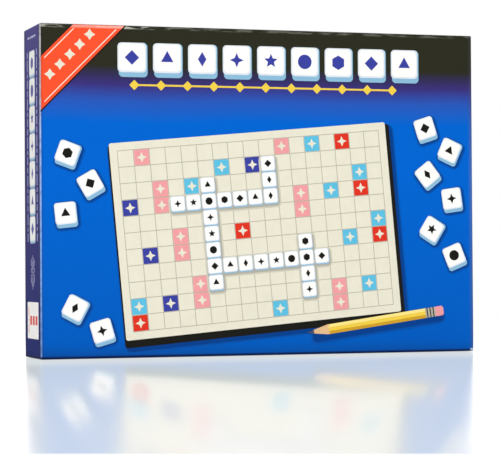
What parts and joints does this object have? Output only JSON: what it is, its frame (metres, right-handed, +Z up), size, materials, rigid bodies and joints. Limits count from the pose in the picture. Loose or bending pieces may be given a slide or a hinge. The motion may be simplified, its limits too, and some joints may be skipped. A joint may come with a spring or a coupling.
{
  "type": "word board game",
  "caption": "Flat rectangular game box with a lift-off lid, holding a formed insert tray, a folding board, tile racks, letter tiles and a rules leaflet.",
  "frame": {"origin": "on the ground under the middle of the closed box, which stands on its long edge", "axes": "+X along the long side to the right as seen from the lid's face, +Y from the lid's face to the base's back, +Z up"},
  "size_m": [0.405, 0.065, 0.29],
  "materials": {
    "greyboard": "matte",
    "stay_paper": "matte",
    "cover_print": "gloss",
    "side_print": "gloss",
    "base_paper": "satin",
    "insert_plastic": "satin",
    "board_print": "satin",
    "board_backing": "matte",
    "spine_cloth": "matte",
    "leaflet_paper": "matte",
    "rack_plastic": "satin",
    "tile_plastic": "satin"
  },
  "bodies": {
    "base": {"base_greyboard": "greyboard", "base_corner_stays": "stay_paper", "base_wrap_back": "base_paper", "base_wrap_left": "base_paper", "base_wrap_right": "base_paper", "base_wrap_top": "base_paper", "base_wrap_bottom": "base_paper"},
    "lid": {"lid_greyboard": "greyboard", "lid_corner_stays": "stay_paper", "lid_print_front": "cover_print", "lid_print_left": "side_print", "lid_print_right": "side_print", "lid_print_top": "side_print", "lid_print_bottom": "side_print"},
    "insert": {"insert_tray": "insert_plastic", "insert_board_recess": "insert_plastic", "insert_tile_well": "insert_plastic", "insert_spare_well": "insert_plastic", "insert_finger_notches": "insert_plastic", "insert_rack_wells": "insert_plastic"},
    "letter_tiles": {"tile_a": "tile_plastic", "tile_b": "tile_plastic", "tile_c": "tile_plastic", "tile_d": "tile_plastic", "tile_e": "tile_plastic", "tile_f": "tile_plastic", "tile_g": "tile_plastic", "tile_h": "tile_plastic", "tile_i": "tile_plastic", "tile_j": "tile_plastic", "tile_k": "tile_plastic", "tile_l": "tile_plastic", "tile_m": "tile_plastic", "tile_n": "tile_plastic", "tile_o": "tile_plastic", "tile_p": "tile_plastic", "tile_q": "tile_plastic", "tile_r": "tile_plastic", "tile_s": "tile_plastic", "tile_t": "tile_plastic", "tile_u": "tile_plastic", "tile_v": "tile_plastic", "tile_w": "tile_plastic", "tile_x": "tile_plastic", "tile_y": "tile_plastic", "tile_z": "tile_plastic"},
    "leaflet": {"rules_leaflet": "leaflet_paper"},
    "board_lower_half": {"board_lower_core": "greyboard", "board_lower_face": "board_print", "board_lower_backing": "board_backing", "board_spine_cloth": "spine_cloth"},
    "board_upper_half": {"board_upper_core": "greyboard", "board_upper_face": "board_print", "board_upper_backing": "board_backing"},
    "rack_1_body": {"rack_1": "rack_plastic"},
    "rack_2_body": {"rack_2": "rack_plastic"},
    "rack_3_body": {"rack_3": "rack_plastic"},
    "rack_4_body": {"rack_4": "rack_plastic"}
  },
  "joints": [
    {"name": "lid_lift", "type": "slide", "parent": "base", "child": "lid", "axis": [0, -1, 0], "range_m": [0, 0.8]},
    {"name": "insert_lift", "type": "slide", "parent": "base", "child": "insert", "axis": [0, -1, 0], "range_m": [0, 0.064]},
    {"name": "tiles_lift", "type": "slide", "parent": "base", "child": "letter_tiles", "axis": [0, -1, 0], "range_m": [0, 0.12]},
    {"name": "leaflet_lift", "type": "slide", "parent": "base", "child": "leaflet", "axis": [0, -1, 0], "range_m": [0, 0.192]},
    {"name": "board_lift", "type": "slide", "parent": "base", "child": "board_lower_half", "axis": [0, -1, 0], "range_m": [0, 0.24]},
    {"name": "rack_1_lift", "type": "slide", "parent": "base", "child": "rack_1_body", "axis": [0, -1, 0], "range_m": [0, 0.152]},
    {"name": "rack_2_lift", "type": "slide", "parent": "base", "child": "rack_2_body", "axis": [0, -1, 0], "range_m": [0, 0.152]},
    {"name": "rack_3_lift", "type": "slide", "parent": "base", "child": "rack_3_body", "axis": [0, -1, 0], "range_m": [0, 0.152]},
    {"name": "rack_4_lift", "type": "slide", "parent": "base", "child": "rack_4_body", "axis": [0, -1, 0], "range_m": [0, 0.152]},
    {"name": "board_unfold", "type": "hinge", "parent": "board_lower_half", "child": "board_upper_half", "pos_m": [0, -0.0257, 0.177], "axis": [-1, 0, 0], "range_deg": [0, 180], "deforming": ["board_spine_cloth"]}
  ],
  "couplings": [
    {"joint": "insert_lift", "follows": "lid_lift", "ratio": 0.08},
    {"joint": "tiles_lift", "follows": "lid_lift", "ratio": 0.15},
    {"joint": "leaflet_lift", "follows": "lid_lift", "ratio": 0.24},
    {"joint": "board_lift", "follows": "lid_lift", "ratio": 0.3},
    {"joint": "rack_1_lift", "follows": "lid_lift", "ratio": 0.19},
    {"joint": "rack_2_lift", "follows": "lid_lift", "ratio": 0.19},
    {"joint": "rack_3_lift", "follows": "lid_lift", "ratio": 0.19},
    {"joint": "rack_4_lift", "follows": "lid_lift", "ratio": 0.19},
    {"joint": "board_unfold", "follows": "lid_lift", "rad_per_m": 3.9269}
  ]
}
